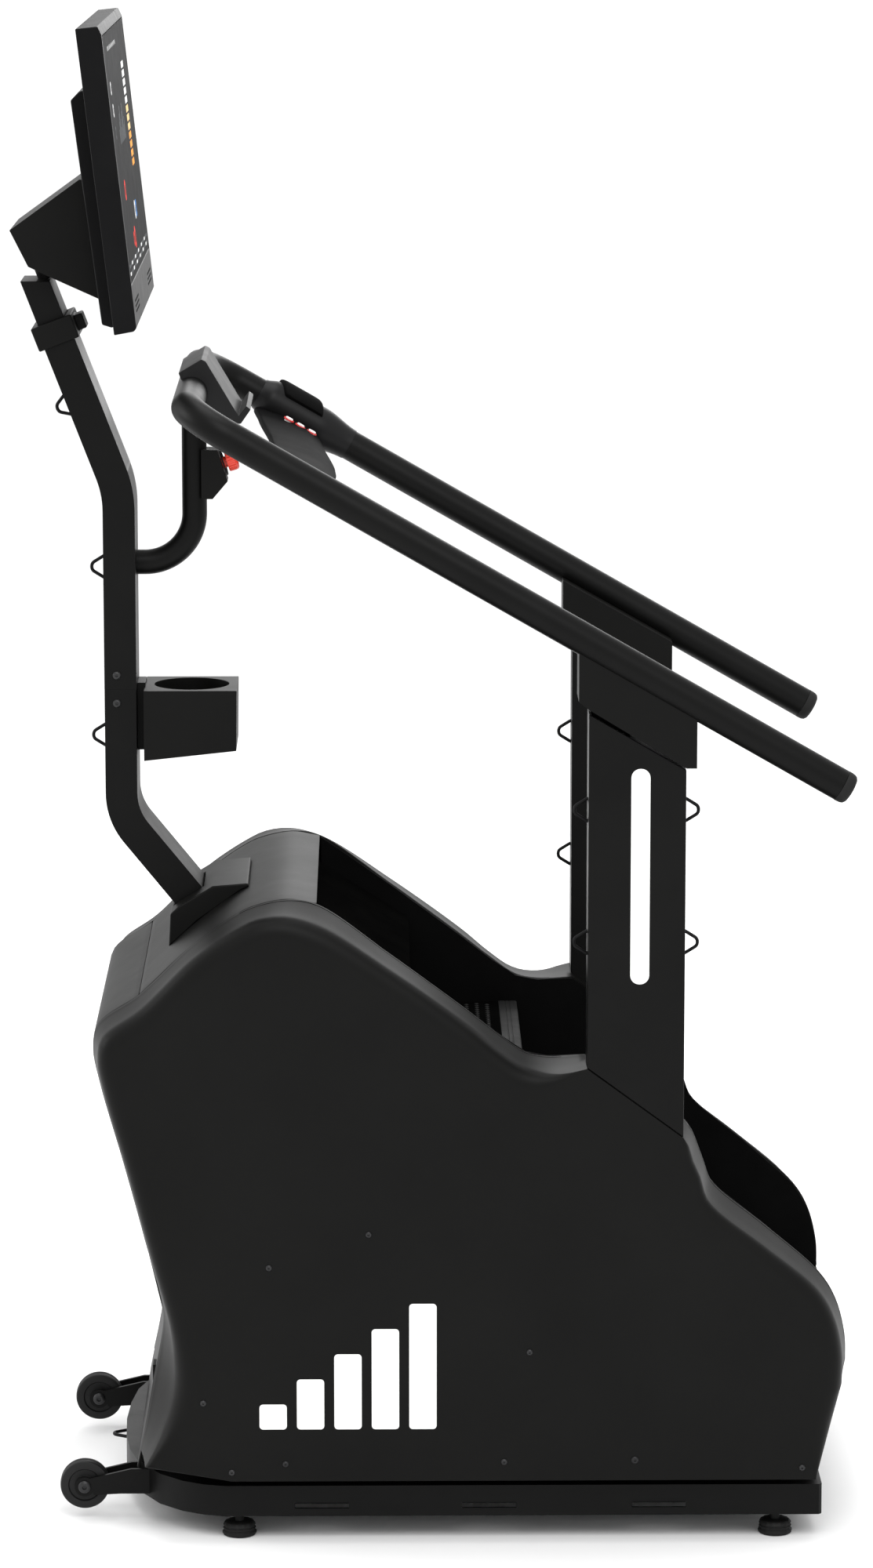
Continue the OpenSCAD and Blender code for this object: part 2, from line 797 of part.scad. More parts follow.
// One rigid step: tread, front riser, end brackets and chain pins, nosing at the origin
module step_shape() {
    hw = step_width / 2;
    difference() {
        slab(-hw, hw) outline([[-tread_run, 0], [0, 0], [0, -riser_drop],
            [-riser_thick, -riser_drop], [-riser_thick, -tread_thick],
            [-tread_run, -tread_thick]]);
        for (y = rib_bays)
            slab(y - bay_w / 2, y + bay_w / 2) outline([[4 - tread_run, -4], [-14, -4],
                [-14, -tread_thick - 1], [4 - tread_run, -tread_thick - 1]]);
    }
    pair() slab(hw - 6, hw) outline([[-145, -tread_thick + 1], [-71, -tread_thick + 1],
        [-95, -48], [-121, -48]]);
    pair() pin([-pin_back, -pin_drop], hw - 1, chain_y - 0.6, 6);
}

module step(k) {
    pos = first_pin - (k - 1) * pitch;
    color(grey)
        if (pos > low_t)
            about(low_c, (pos - low_t) / drum_r * 180 / PI) straight_step(low_t);
        else if (pos >= high_t)
            straight_step(pos);
        else if (pos >= high_t - PI * drum_r)
            about(high_c, -(high_t - pos) / drum_r * 180 / PI) straight_step(high_t);
        else
            returning_step(2 * high_t - PI * drum_r - pos);
}

module about(c, a) {
    translate([c[0], 0, c[1]]) rotate([0, a, 0]) translate([-c[0], 0, -c[1]]) children();
}

module straight_step(t) {
    p = t * down_t + top_n * up_n;
    translate([p[0] + pin_back, 0, p[1] + pin_drop]) step_shape();
}

module returning_step(t) {
    p = t * down_t + (drum_n - drum_r) * up_n;
    translate([p[0], 0, p[1]]) rotate([0, 180, 0])
        translate([pin_back, 0, pin_drop]) step_shape();
}

module loop_shape(r) {
    translate(low_c) circle(r = r, $fn = 96);
    translate(high_c) circle(r = r, $fn = 96);
    outline([low_c + r * up_n, low_c - r * up_n, high_c - r * up_n, high_c + r * up_n]);
}

module step_chains() {
    color(steel) pair() slab(chain_y, chain_y + chain_w) difference() {
        loop_shape(drum_r + 4);
        loop_shape(drum_r - 4);
    }
}

module drum_shaft(c, y0, y1) {
    pin(c, y0, y1, shaft_dia / 2);
    pair() pin(c, chain_y + 1.5, chain_y + 6.5, drum_r - 4.6);
    pair() pin(c, chain_y + 6.5, frame_y - 1, 24);
}

module upper_shaft() {
    color(steel) {
        drum_shaft(high_c, -frame_y - frame_w - 3, belt_y + belt_w + 2);
        pin(high_c, belt_y, belt_y + belt_w, pulley_r);
    }
}

module lower_shaft() {
    color(steel) drum_shaft(low_c, -frame_y - frame_w - 3, frame_y + frame_w + 3);
}

module alternator() {
    color(steel) difference() {
        union() {
            pin(flywheel_c, 150, 256, 80);
            pin(flywheel_c, 256, frame_y, 60);
        }
        pin(flywheel_c, 200, frame_y + 1, 9.05);
    }
}

module flywheel() {
    color(steel) {
        pin(flywheel_c, 205, 325, 9);
        pin(flywheel_c, belt_y, belt_y + belt_w, flywheel_pulley_r);
        pin(flywheel_c, belt_y + belt_w + 3, 333, 95);
    }
}

function arc_pts(c, r, a0, a1, n) =
    [for (i = [0:n]) c + r * [cos(a0 + (a1 - a0) * i / n), sin(a0 + (a1 - a0) * i / n)]];

module belt_shape(r1, r2) {
    v = flywheel_c - high_c;
    a = acos((r1 - r2) / norm(v));
    b = atan2(v[1], v[0]);
    outline(concat(arc_pts(high_c, r1, b + a, b + 360 - a, 36),
        arc_pts(flywheel_c, r2, b - a, b + a, 24)));
}

module drive_belt() {
    color(black) slab(belt_y + 1, belt_y + belt_w - 1) difference() {
        belt_shape(pulley_r + 0.3 + belt_t, flywheel_pulley_r + 0.3 + belt_t);
        belt_shape(pulley_r + 0.3, flywheel_pulley_r + 0.3);
    }
}

base_frame();
foot(foot_x_front, -1);  // foot_front_left
foot(foot_x_front, 1);  // foot_front_right
foot(foot_x_rear, -1);  // foot_rear_left
foot(foot_x_rear, 1);  // foot_rear_right
transport_wheel(-1);  // transport_wheel_left
transport_wheel(1);  // transport_wheel_right
fasteners();
frame_side(-1);  // frame_side_left
frame_side(1);  // frame_side_right
side_cover(-1);  // side_cover_left
side_cover(1);  // side_cover_right
inner_liner(-1);  // inner_liner_left
inner_liner(1);  // inner_liner_right
top_cover();
front_cover();
rear_panel();
upright(-1);  // upright_left
upright(1);  // upright_right
rail_bracket(-1);  // rail_bracket_left
rail_bracket(1);  // rail_bracket_right
handrail();
rail_end_cap(-1);  // rail_end_cap_left
rail_end_cap(1);  // rail_end_cap_right
support_arm();
device_holder();
control_bridge();
grip();
key(0);  // key_slower
key(1);  // key_menu
key(2);  // key_faster
estop_housing();
estop_button();
mast_lower();
mast_upper();
mast_head();
mast_collar();
mast_boot();
cup_holder();
band_hooks();
display_housing();
display_glass();
display_back_box();
neck_cover();
step(1);  // step_1
step(2);  // step_2
step(3);  // step_3
step(4);  // step_4
step(5);  // step_5
step(6);  // step_6
step(7);  // step_7
step_chains();
upper_shaft();
lower_shaft();
alternator();
flywheel();
drive_belt();
power_inlet();
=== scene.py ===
import json
import math

import bmesh
import bpy
from mathutils import Matrix, Vector


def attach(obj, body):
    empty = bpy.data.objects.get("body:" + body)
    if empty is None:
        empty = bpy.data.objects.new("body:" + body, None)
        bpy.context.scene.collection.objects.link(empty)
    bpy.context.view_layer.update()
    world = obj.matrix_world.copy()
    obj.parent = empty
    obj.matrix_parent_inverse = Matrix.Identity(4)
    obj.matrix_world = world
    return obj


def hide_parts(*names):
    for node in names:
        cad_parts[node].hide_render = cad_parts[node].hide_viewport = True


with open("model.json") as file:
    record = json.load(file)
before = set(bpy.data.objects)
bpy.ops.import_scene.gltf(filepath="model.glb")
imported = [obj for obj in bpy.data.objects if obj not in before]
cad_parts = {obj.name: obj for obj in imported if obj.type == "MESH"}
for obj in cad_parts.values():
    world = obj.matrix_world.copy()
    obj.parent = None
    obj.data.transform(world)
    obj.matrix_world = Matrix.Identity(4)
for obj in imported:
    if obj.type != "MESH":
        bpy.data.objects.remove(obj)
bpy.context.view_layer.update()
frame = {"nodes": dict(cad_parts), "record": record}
NODES = frame["nodes"]
REC = frame["record"]

BODY_OF = {n: b for b, ns in REC["behaviour"]["bodies"].items() for n in ns}
MM = 0.001
SIDES = ((-1, "left"), (1, "right"))


# ------------------------------------------------------------------ materials

def tree(name):
    m = bpy.data.materials.new(name)
    m.use_nodes = True
    nt = m.node_tree
    p = nt.nodes["Principled BSDF"]
    return m, nt, p


def coords(nt):
    return nt.nodes.new("ShaderNodeTexCoord").outputs["Object"]


def noise(nt, vec, scale, detail=3.0, rough=0.5):
    n = nt.nodes.new("ShaderNodeTexNoise")
    n.inputs["Scale"].default_value = scale
    n.inputs["Detail"].default_value = detail
    n.inputs["Roughness"].default_value = rough
    nt.links.new(vec, n.inputs["Vector"])
    return n.outputs["Fac"]


def ramp(nt, fac, stops):
    r = nt.nodes.new("ShaderNodeValToRGB")
    el = r.color_ramp.elements
    while len(el) < len(stops):
        el.new(0.5)
    for e, (pos, col) in zip(el, stops):
        e.position = pos
        e.color = (*col, 1.0) if hasattr(col, "__len__") else (col, col, col, 1.0)
    nt.links.new(fac, r.inputs["Fac"])
    return r.outputs["Color"]


def bump(nt, height, strength, distance):
    b = nt.nodes.new("ShaderNodeBump")
    b.inputs["Strength"].default_value = strength
    b.inputs["Distance"].default_value = distance
    nt.links.new(height, b.inputs["Height"])
    return b.outputs["Normal"]


def worn(name, lo, hi, rough_lo, rough_hi, grain, grain_depth, grain_strength,
         metallic=0.0, mottled=14.0, spec=0.5):
    """A painted or moulded surface: slow colour mottling, fine grain, and uneven gloss."""
    m, nt, p = tree(name)
    v = coords(nt)
    slow = noise(nt, v, mottled, 4.0, 0.6)
    nt.links.new(ramp(nt, slow, [(0.3, lo), (0.7, hi)]), p.inputs["Base Color"])
    gloss = noise(nt, v, mottled * 2.3, 5.0, 0.65)
    nt.links.new(ramp(nt, gloss, [(0.3, rough_lo), (0.7, rough_hi)]), p.inputs["Roughness"])
    fine = noise(nt, v, grain, 2.0, 0.6)
    nt.links.new(bump(nt, fine, grain_strength, grain_depth), p.inputs["Normal"])
    p.inputs["Metallic"].default_value = metallic
    p.inputs["Specular IOR Level"].default_value = spec
    return m


# key, name, dark and light colour, least and most roughness, grain scale, depth and strength, rest
LOOKS = [
    ("cover", "cover_plastic", (0.0026, 0.0026, 0.0024), (0.0038, 0.0038, 0.0035),
     0.45, 0.49, 2600, 0.00008, 0.16, dict(mottled=5.0, spec=0.10)),
    ("liner", "liner_plastic", (0.0015, 0.0015, 0.0015), (0.0025, 0.0025, 0.0025),
     0.72, 0.82, 1100, 0.0001, 0.2, dict(spec=0.04)),
    ("paint", "powder_coat", (0.0024, 0.0024, 0.0023), (0.0036, 0.0036, 0.0034),
     0.38, 0.44, 1900, 0.0001, 0.25, dict(mottled=8.0, spec=0.10)),
    ("rubber", "rubber", (0.006, 0.006, 0.006), (0.010, 0.010, 0.0095),
     0.6, 0.78, 700, 0.0002, 0.4, dict(spec=0.2)),
    ("grip", "grip_rubber", (0.0018, 0.0018, 0.0018), (0.0032, 0.0032, 0.0032),
     0.74, 0.84, 420, 0.0003, 0.5, dict(spec=0.05)),
    ("tyre", "wheel_polyurethane", (0.006, 0.006, 0.006), (0.011, 0.011, 0.011),
     0.45, 0.6, 500, 0.0002, 0.35, dict(spec=0.2)),
    ("pod", "pod_gloss", (0.0075, 0.0075, 0.0077), (0.0105, 0.0105, 0.0108),
     0.34, 0.40, 1500, 0.00004, 0.08, dict(mottled=6.0, spec=0.10)),
    ("bridge", "bridge_plastic", (0.0035, 0.0035, 0.0036), (0.0055, 0.0055, 0.0057),
     0.62, 0.68, 1500, 0.00004, 0.08, dict(mottled=6.0, spec=0.02)),
    ("holder", "holder_plastic", (0.010, 0.010, 0.0102), (0.014, 0.014, 0.0143),
     0.42, 0.5, 1300, 0.00005, 0.12, dict(mottled=6.0, spec=0.10)),
    ("display", "display_shell", (0.0024, 0.0024, 0.0026), (0.0038, 0.0038, 0.0041),
     0.40, 0.46, 1500, 0.00008, 0.16, dict(spec=0.08)),
    ("steel_black", "black_steel", (0.0045, 0.0045, 0.0047), (0.008, 0.008, 0.0083),
     0.38, 0.5, 800, 0.0001, 0.3, dict(spec=0.10)),
    ("bolt", "bolt_steel", (0.018, 0.018, 0.0185), (0.035, 0.035, 0.036),
     0.35, 0.5, 800, 0.00008, 0.2, dict(metallic=0.7)),
    ("steel", "zinc_steel", (0.32, 0.32, 0.33), (0.42, 0.42, 0.43),
     0.28, 0.42, 600, 0.0001, 0.3, dict(metallic=1.0)),
    ("alloy", "cast_alloy", (0.03, 0.03, 0.032), (0.05, 0.05, 0.053),
     0.4, 0.55, 450, 0.0002, 0.4, dict(metallic=0.8)),
    ("red", "red_plastic", (0.62, 0.035, 0.018), (0.72, 0.05, 0.025),
     0.28, 0.38, 900, 0.0001, 0.2, dict()),
    # key: white that stands for the glow of the lit keys, painted into their colour
    ("key", "key_painted_glow", (0.75, 0.73, 0.72), (0.85, 0.83, 0.82),
     0.3, 0.4, 900, 0.0001, 0.2, dict()),
    # step: the tread's own black, made darker than the other black parts and given no reflection so
    # it shows as dark as the shade in the step opening: black with painted shade
    ("step", "step_top", (0.0014, 0.0014, 0.0014), (0.0024, 0.0024, 0.0023),
     0.82, 0.9, 900, 0.0001, 0.2, dict(spec=0.0)),
    ("nosing", "nosing_strip", (0.010, 0.010, 0.010), (0.016, 0.016, 0.0157),
     0.6, 0.7, 900, 0.0001, 0.25, dict(spec=0.08)),
    ("stud", "grip_stud", (0.011, 0.011, 0.011), (0.018, 0.018, 0.0177),
     0.6, 0.7, 900, 0.0001, 0.2, dict(spec=0.1)),
    ("screen_back", "screen_glass", (0.007, 0.007, 0.0075), (0.010, 0.010, 0.011),
     0.55, 0.62, 300, 0.00002, 0.05, dict(spec=0.02)),
]
# the lit colours on the screen: key, dark and light colour
SCREEN_INKS = [
    ("white", (0.8, 0.8, 0.8), (0.9, 0.9, 0.9)),
    ("orange", (0.85, 0.30, 0.03), (0.95, 0.42, 0.06)),
    ("red", (0.7, 0.03, 0.02), (0.85, 0.05, 0.03)),
    ("blue", (0.05, 0.25, 0.7), (0.08, 0.34, 0.85)),
    ("grey", (0.06, 0.065, 0.07), (0.09, 0.095, 0.1)),
    ("amber", (0.85, 0.55, 0.22), (0.95, 0.65, 0.3)),
]
# marks printed on the covers and round the keys, in the same columns as LOOKS
PRINTS = [
    ("white", "white_vinyl", (0.80, 0.80, 0.79), (0.86, 0.86, 0.85),
     0.42, 0.55, 700, 0.0001, 0.2, dict(spec=0.3)),
    ("ring", "red_print", (0.55, 0.02, 0.02), (0.65, 0.03, 0.03),
     0.4, 0.5, 900, 0.0001, 0.2, dict()),
]
MAT = {}
for key, name, *look, rest in LOOKS:
    MAT[key] = worn(name, *look, **rest)
for key, lo, hi in SCREEN_INKS:
    MAT["ui_" + key] = worn("screen_" + key, lo, hi, 0.5, 0.6, 900, 0.00002, 0.05, spec=0.03)
for key, name, *look, rest in PRINTS:
    MAT[key] = worn(name, *look, **rest)

NODE_MAT = {
    "base_frame": "paint", "fasteners": "bolt", "handrail": "paint", "support_arm": "paint",
    "device_holder": "holder", "control_bridge": "pod", "grip": "grip", "key_slower": "key",
    "key_menu": "key", "key_faster": "key", "estop_housing": "cover", "estop_button": "red",
    "mast_lower": "paint", "mast_upper": "paint", "mast_head": "paint", "mast_collar": "cover",
    "mast_boot": "cover", "cup_holder": "cover", "band_hooks": "steel_black",
    "display_housing": "display", "display_glass": "screen_back", "display_back_box": "display",
    "neck_cover": "cover", "step_chains": "steel_black", "upper_shaft": "steel",
    "lower_shaft": "steel", "alternator": "alloy", "flywheel": "steel", "drive_belt": "rubber",
    "power_inlet": "cover", "top_cover": "cover", "front_cover": "cover", "rear_panel": "cover",
    "frame_side": "paint", "side_cover": "cover", "inner_liner": "liner", "upright": "paint",
    "rail_bracket": "cover", "rail_end_cap": "rubber", "foot": "rubber", "transport_wheel": "tyre",
    "step": "step",
}


def kind(node):
    if node in NODE_MAT:
        return NODE_MAT[node]
    return NODE_MAT[max((k for k in NODE_MAT if node.startswith(k)), key=len)]


for n in NODES:
    NODES[n].data.materials.clear()
    NODES[n].data.materials.append(MAT[kind(n)])


# ------------------------------------------------------------------ helpers


def add(name, bm, mats, node=None, body=None, matrix=None, smooth=35, weighted=True):
    """Makes a piece from a bmesh, standing for a CAD node if one is named."""
    bmesh.ops.recalc_face_normals(bm, faces=bm.faces)
    me = bpy.data.meshes.new(name)
    bm.to_mesh(me)
    bm.free()
    if matrix is not None:
        me.transform(matrix)
    for a in [a.name for a in me.attributes if a.name == "custom_normal"]:
        me.attributes.remove(me.attributes[a])
    for p in me.polygons:
        p.use_smooth = True
    me.set_sharp_from_angle(angle=math.radians(smooth))
    for m in mats if isinstance(mats, (list, tuple)) else [mats]:
        me.materials.append(MAT[m])
    ob = bpy.data.objects.new(name, me)
    bpy.context.scene.collection.objects.link(ob)
    if weighted:
        w = ob.modifiers.new("weighted", "WEIGHTED_NORMAL")
        w.keep_sharp = True
    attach(ob, body or BODY_OF[node])
    if node:
        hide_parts(node)
    return ob


def cad_bmesh(node):
    """A copy of a CAD solid's mesh with its flat faces merged."""
    bm = bmesh.new()
    bm.from_mesh(NODES[node].data)
    bmesh.ops.remove_doubles(bm, verts=bm.verts, dist=3e-6)
    bmesh.ops.dissolve_limit(bm, angle_limit=math.radians(0.8), verts=bm.verts, edges=bm.edges)
    for f in bm.faces:
        f.material_index = 0
    return bm


HARD_EDGE = math.radians(32)


def refine(node, width, seg, min_len):
    """The CAD solid with its hard edges, those longer than min_len, rounded by width, in mm."""
    bm = cad_bmesh(node)
    edges = [e for e in bm.edges if len(e.link_faces) == 2
             and e.calc_face_angle(0.0) > HARD_EDGE and e.calc_length() > min_len * MM]
    if edges:
        bmesh.ops.bevel(bm, geom=edges, offset=width * MM, offset_type="OFFSET", segments=seg,
                        profile=0.5, affect="EDGES", clamp_overlap=True)
    return add(node + "_look", bm, kind(node), node=node)


def ring_faces(bm, a, b, closed=True):
    """Joins two rows of vertices with quads."""
    n = len(a)
    for i in range(n if closed else n - 1):
        j = (i + 1) % n
        if len({a[i], a[j], b[j], b[i]}) == 4:
            bm.faces.new((a[i], a[j], b[j], b[i]))


def loft(bm, rings, loop=False):
    """Skins a list of rings, and closes the two ends unless the skin loops back to the start."""
    for a, b in zip(rings, rings[1:]):
        ring_faces(bm, a, b)
    if loop:
        ring_faces(bm, rings[-1], rings[0])
    else:
        bm.faces.new(rings[0][::-1])
        bm.faces.new(rings[-1])


def lathe(bm, profile, centre, axis="Z", n=48, rib=None, loop=False):
    """Turns (radius, height) pairs, in mm, about an axis through centre."""
    rings = []
    for k, (r, h) in enumerate(profile):
        ring = []
        for i in range(n):
            t = 2 * math.pi * i / n
            q = r + (rib(k, i) if rib else 0.0)
            c, s = q * math.cos(t), q * math.sin(t)
            p = {"X": (h, c, s), "Y": (c, h, s), "Z": (c, s, h)}[axis]
            ring.append(bm.verts.new([(centre[j] + p[j]) * MM for j in range(3)]))
        rings.append(ring)
    loft(bm, rings, loop)


def curve_point(pts, sharp, i, t):
    """A point on the smooth curve between pts[i] and pts[i + 1]."""
    n = len(pts)
    p1, p2 = Vector(pts[i]), Vector(pts[i + 1])
    p0 = Vector(pts[i - 1]) if i > 0 and i not in sharp else p1 * 2 - p2
    p3 = Vector(pts[i + 2]) if i + 2 < n and i + 1 not in sharp else p2 * 2 - p1
    d01 = max((p1 - p0).length ** 0.5, 1e-6)
    d12 = max((p2 - p1).length ** 0.5, 1e-6)
    d23 = max((p3 - p2).length ** 0.5, 1e-6)
    m1 = (p2 - p1 + d12 * ((p1 - p0) / d01 - (p2 - p0) / (d01 + d12)))
    m2 = (p2 - p1 + d12 * ((p3 - p2) / d23 - (p3 - p1) / (d12 + d23)))
    a = 2 * (p1 - p2) + m1 + m2
    b = -3 * (p1 - p2) - 2 * m1 - m2
    return a * t ** 3 + b * t * t + m1 * t + p1


def smooth_line(pts, sharp, step=9.0):
    """Points along a smooth curve through pts, with corners kept at the sharp indexes."""
    out, src = [], []
    for i in range(len(pts) - 1):
        k = max(2, int((Vector(pts[i + 1]) - Vector(pts[i])).length / step))
        for j in range(k):
            out.append(curve_point(pts, sharp, i, j / k))
            src.append(i + j / k)
    out.append(Vector(pts[-1]))
    src.append(len(pts) - 1.0)
    return out, src


def at_line(pts, sharp, src):
    """The same kind of curve evaluated at given parameters, so two outlines pair up."""
    out = []
    for u in src:
        i = min(int(u), len(pts) - 2)
        out.append(curve_point(pts, sharp, i, u - i))
    return out


# ------------------------------------------------------------------ shroud

# side-view outlines of a side cover, at its face and at the step opening, and the
# corners that both keep sharp
OUTER = [(-400, 112), (-372, 155), (-356, 190), (-350, 227), (-353, 262), (-362, 310), (-390, 415),
         (-419, 527), (-450, 640), (-459, 690), (-452, 721), (-401, 760), (-326, 834), (-262, 876),
         (-240, 886), (-205, 889), (-151, 872), (-56, 813), (52, 735), (90, 702), (124, 679),
         (165, 671), (212, 681), (345, 583), (352, 570), (358, 547), (368, 525), (378, 493),
         (394, 474), (460, 422), (533, 359), (557, 315), (567, 267), (566, 219), (536, 103),
         (534, 92), (-280, 92)]
INNER = [(-411, 112), (-402, 155), (-396, 190), (-389, 227), (-382, 262), (-377, 310), (-402, 415),
         (-431, 527), (-462, 640), (-471, 690), (-464, 725), (-407, 766), (-330, 838), (-268, 882),
         (-242, 893), (-200, 901), (-160, 895), (-56, 822), (46, 746), (92, 710), (130, 684),
         (160, 678), (212, 680), (352, 586), (362, 572), (370, 552), (378, 530), (388, 502),
         (402, 486), (468, 433), (543, 366), (566, 328), (579, 278), (581, 240), (546, 103),
         (540, 92), (-280, 92)]
SHARP = {0, 22, 23, 33, 34, 35, 36}
SIDE_Y, OPEN_Y = 345.0, 250.0
X_MOST = 580.6          # furthest back that the opening's edge may come
ROUND_STEPS = 6
NOTCH = (21.6, 23.4)    # stretch of the outline where the upright passes
COVER_WALL = 3


def shell_walls(ob, wall):
    """Gives an open skin its wall thickness, in mm, then shades it evenly."""
    so = ob.modifiers.new("wall", "SOLIDIFY")
    so.thickness = wall * MM
    so.offset = -1
    w = ob.modifiers.new("weighted", "WEIGHTED_NORMAL")
    w.keep_sharp = True


def normals_2d(pts):
    """Inward direction at each point of a closed outline that runs clockwise."""
    out = []
    n = len(pts)
    for i in range(n):
        d = (pts[(i + 1) % n] - pts[i]).normalized() + (pts[i] - pts[i - 1]).normalized()
        d = d.normalized() if d.length > 1e-9 else Vector((1, 0))
        out.append(Vector((d.y, -d.x)))
    return out


def edge_radius(u, p):
    """How far the face rounds into the edge at parameter u, in mm."""
    if NOTCH[0] <= u <= NOTCH[1]:
        return 2.0
    if p.y < 100:
        return 3.0
    near = min(abs(u - NOTCH[0]), abs(u - NOTCH[1])) / 1.2
    low = max(0.0, (p.y - 96.0) / 70.0)
    most = 11.0 if 23 < u < 28.5 else 22.0
    if u > 28.5:
        most = 11.0 + 11.0 * min(1.0, (u - 28.5) / 2.0)
    return 3.0 + most * min(1.0, near, low)


def groove(u):
    """Whether the trim line round the opening runs at parameter u."""
    return 1.0 if 13.5 <= u <= 21.2 or 23.6 <= u <= 33 else 0.0


def side_shell(s, node):
    """A side cover: its face rounds into the edge, which runs in to the opening's trim line."""
    outer, src = smooth_line(OUTER, SHARP)
    inner = [Vector((min(q.x, X_MOST), q.y)) for q in at_line(INNER, SHARP, src)]
    no, ni = normals_2d(outer), normals_2d(inner)
    radii = [edge_radius(u, p) for u, p in zip(src, outer)]
    bm = bmesh.new()

    def ring(points, ys):
        return [bm.verts.new((p.x * MM, s * y * MM, p.y * MM)) for p, y in zip(points, ys)]

    rings = []
    for k in range(ROUND_STEPS + 1):
        t = k / ROUND_STEPS
        pts, ys = [], []
        for p, q, n, r in zip(outer, inner, no, radii):
            a = p + n * r
            b = p.lerp(q, r / (SIDE_Y - OPEN_Y))
            pts.append(a * (1 - t) ** 2 + p * 2 * t * (1 - t) + b * t * t)
            ys.append(SIDE_Y * ((1 - t) ** 2 + 2 * t * (1 - t)) + (SIDE_Y - r) * t * t)
        rings.append(ring(pts, ys))
    for y in (310.0, 290.0, 270.0, 262.0):
        f = (SIDE_Y - y) / (SIDE_Y - OPEN_Y)
        bulge = 1.2 * math.sin(math.pi * f)
        pts = [p.lerp(q, f) + n * bulge for p, q, n in zip(outer, inner, no)]
        rings.append(ring(pts, [y] * len(pts)))
    for y, depth in ((258.0, 0.2), (257.2, 2.6), (256.2, 2.8), (255.4, 0.3), (252.0, 0.0),
                     (250.6, 0.9), (250.2, 3.0)):
        f = (SIDE_Y - y) / (SIDE_Y - OPEN_Y)
        in_groove = depth > 0.3 or y > 253
        pts = [p.lerp(q, f) + n * (depth * groove(u) if in_groove else depth)
               for p, q, n, u in zip(outer, inner, ni, src)]
        rings.append(ring(pts, [y] * len(pts)))
    lip = [q + n * 14 for q, n in zip(inner, ni)]
    rings.append(ring(lip, [250.2] * len(lip)))
    for a, b in zip(rings, rings[1:]):
        ring_faces(bm, a, b)
    bm.faces.new(rings[0])
    ob = add(node + "_look", bm, "cover", node=node, smooth=40, weighted=False)
    shell_walls(ob, COVER_WALL)


side_shell(-1, "side_cover_left")
side_shell(1, "side_cover_right")


def band(node, pts, sharp):
    """A moulded strip that follows a side-view line, with softened ends."""
    half = 249.5
    drops = {0: 3.0, 1: 0.9, 2: 0.1}
    line, _ = smooth_line(pts, sharp, 8.0)
    bm = bmesh.new()
    n = len(line)
    nor = []
    for i in range(n):
        d = (line[min(i + 1, n - 1)] - line[max(i - 1, 0)]).normalized()
        nor.append(Vector((d.y, -d.x)))
    ys = [-half, -half + 0.8, -half + 3.0, -half + 40]
    ys += [(-half + 40) + (2 * half - 80) * k / 8 for k in range(1, 8)]
    ys += [half - 40, half - 3.0, half - 0.8, half]
    rings = []
    for j, y in enumerate(ys):
        drop = drops.get(min(j, len(ys) - 1 - j), 0.0)
        rings.append([bm.verts.new(((p.x + m.x * drop) * MM, y * MM, (p.y + m.y * drop) * MM))
                      for p, m in zip(line, nor)])
    for a, b in zip(rings, rings[1:]):
        ring_faces(bm, a, b, closed=False)
    ob = add(node + "_look", bm, kind(node), node=node, smooth=40, weighted=False)
    shell_walls(ob, COVER_WALL)


FRONT = [(-416, 84), (-407, 130), (-390, 220), (-375, 300), (-402, 415), (-431, 527), (-462, 640),
         (-471, 690), (-464, 725), (-408, 765)]
TOP = [(-406, 767), (-330, 838), (-268, 882), (-242, 893), (-200, 901), (-160, 895)]
band("front_cover", FRONT, {3})
band("top_cover", TOP, set())


# ------------------------------------------------------------------ tilted frames, the step loop

def turn_y(deg):
    """A turn about the axis across the machine."""
    return Matrix.Rotation(math.radians(deg), 4, "Y")


RAIL = Matrix.Translation((-0.332, 0, 1.5865)) @ turn_y(29.9)
DISPLAY = Matrix.Translation((-0.398, 0, 1.693)) @ turn_y(-6.24)
ESTOP = Matrix.Translation((-0.2925, 0, 1.477)) @ turn_y(90 - 18)

# the step loop: going and rise of a step, then its path as seen from the side
PITCH = math.hypot(215, 183)
DOWN = Vector((215 / PITCH, -183 / PITCH))
UP = Vector((183 / PITCH, 215 / PITCH))
NOSE = Vector((345, 462))
PIN = Vector((-108, -33))
TOP_N = NOSE.dot(UP) + PIN.dot(UP)
FIRST = NOSE.dot(DOWN) + PIN.dot(DOWN) + PITCH
DRUM = 80.0
LOW_T = 154.4
HIGH_T = LOW_T - (7 * PITCH - 2 * math.pi * DRUM) / 2
LOW_C = DOWN * LOW_T + UP * (TOP_N - DRUM)
HIGH_C = DOWN * HIGH_T + UP * (TOP_N - DRUM)


def at(p):
    return Matrix.Translation((p.x * MM, 0, p.y * MM))


def step_frame(k):
    """Where step k stands on the loop: on the slope, round a drum or on the way back."""
    pos = FIRST - (k - 1) * PITCH

    def straight(t):
        return at(DOWN * t + UP * TOP_N - PIN)

    if pos > LOW_T:
        return (at(LOW_C) @ turn_y(math.degrees((pos - LOW_T) / DRUM)) @ at(-LOW_C)
                @ straight(LOW_T))
    if pos >= HIGH_T:
        return straight(pos)
    if pos >= HIGH_T - math.pi * DRUM:
        return (at(HIGH_C) @ turn_y(-math.degrees((HIGH_T - pos) / DRUM)) @ at(-HIGH_C)
                @ straight(HIGH_T))
    t = 2 * HIGH_T - math.pi * DRUM - pos
    return at(DOWN * t + UP * (TOP_N - 2 * DRUM)) @ turn_y(180) @ at(-PIN)


# ------------------------------------------------------------------ small shapes

CORNER_STEPS = 6


